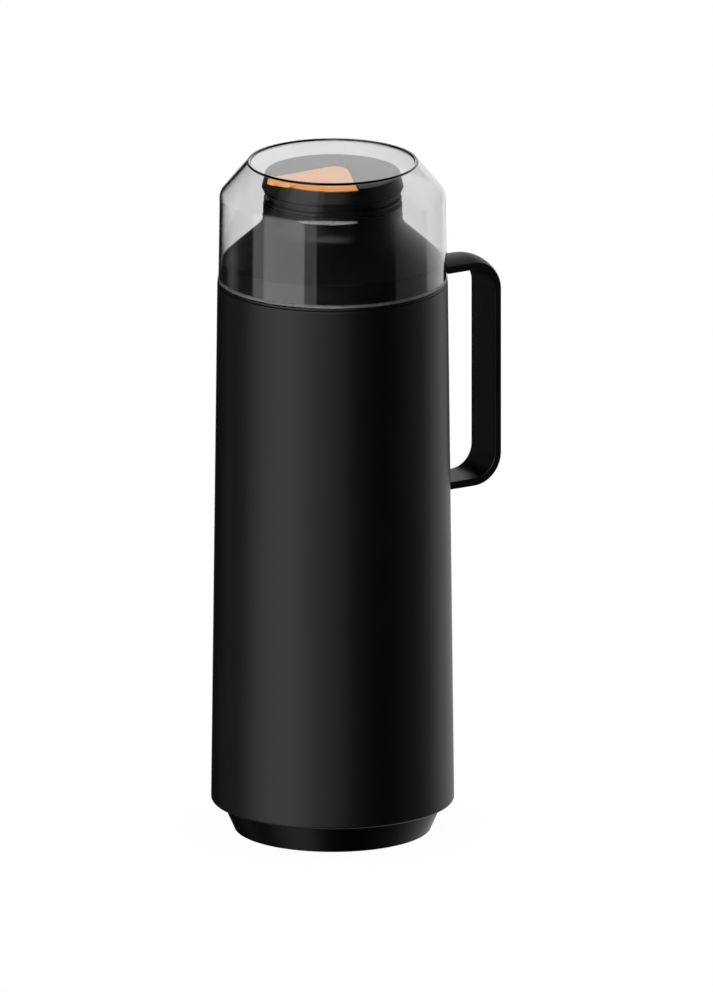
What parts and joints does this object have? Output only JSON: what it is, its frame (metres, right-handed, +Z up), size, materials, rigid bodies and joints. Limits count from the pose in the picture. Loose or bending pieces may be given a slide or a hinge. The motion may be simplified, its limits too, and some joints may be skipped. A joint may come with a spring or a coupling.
{
  "type": "insulated coffee flask",
  "caption": "Tapered insulated pour flask with side strap handle, glass liner, screw stopper with fan-shaped pour lever, and clear cup lid.",
  "frame": {"origin": "centre of the foot's resting plane", "axes": "+Z up along the flask's axis, +X towards the handle"},
  "size_m": [0.1529, 0.12, 0.3406],
  "materials": {
    "black_shell": "satin moulded polypropylene",
    "black_collar": "satin moulded polypropylene, a little smoother",
    "black_foot": "satin moulded polypropylene",
    "black_handle": "satin moulded polypropylene",
    "black_stopper": "satin moulded polypropylene",
    "clear_cup": "polished clear styrene, faint grey tint",
    "orange_lever": "semi-gloss moulded polypropylene",
    "silvered_glass": "silvered blown glass",
    "rubber": "matte moulded rubber",
    "silicone": "matte food-grade silicone",
    "steel": "drawn stainless wire and rod",
    "white_valve": "satin moulded acetal"
  },
  "bodies": {
    "flask": {"outer_shell": "black_shell", "base_cap": "black_foot", "base_cushion": "rubber", "liner_outer_glass": "silvered_glass", "liner_inner_glass": "silvered_glass", "liner_spacer_1": "silicone", "liner_spacer_2": "silicone", "liner_spacer_3": "silicone", "neck_gasket": "silicone", "shoulder_collar": "black_collar", "handle": "black_handle", "handle_screw_1": "steel", "handle_screw_2": "steel"},
    "stopper_seal": {"stopper_gasket": "silicone"},
    "stopper": {"stopper_head": "black_stopper", "stopper_plug": "black_stopper", "lever_pin": "steel"},
    "pour_lever": {"pour_lever": "orange_lever"},
    "valve": {"valve_stem": "white_valve", "valve_seal": "silicone", "spring_cap": "white_valve", "valve_spring": "steel"},
    "cup": {"clear_cup": "clear_cup"}
  },
  "joints": [
    {"name": "stopper_rise", "type": "slide", "parent": "flask", "child": "stopper_seal", "axis": [0, 0, 1], "range_m": [0, 0.0271]},
    {"name": "stopper_turn", "type": "hinge", "parent": "stopper_seal", "child": "stopper", "pos_m": [0, 0, 0.32], "axis": [0, 0, 1], "range_deg": [0, 1080]},
    {"name": "lever_press", "type": "hinge", "parent": "stopper", "child": "pour_lever", "pos_m": [-0.00823, -0.00568, 0.3299], "axis": [-0.5678, 0.8231, 0], "range_deg": [0, 8]},
    {"name": "valve_travel", "type": "slide", "parent": "stopper", "child": "valve", "axis": [0, 0, -1], "range_m": [0, 0.0015], "deforming": ["valve_spring"]},
    {"name": "cup_lift", "type": "slide", "parent": "stopper_seal", "child": "cup", "axis": [0, 0, 1], "range_m": [0, 0.08]}
  ],
  "couplings": [
    {"joint": "stopper_rise", "follows": "stopper_turn", "m_per_rad": 0.0014324},
    {"joint": "valve_travel", "follows": "lever_press", "m_per_rad": 0.0105}
  ]
}
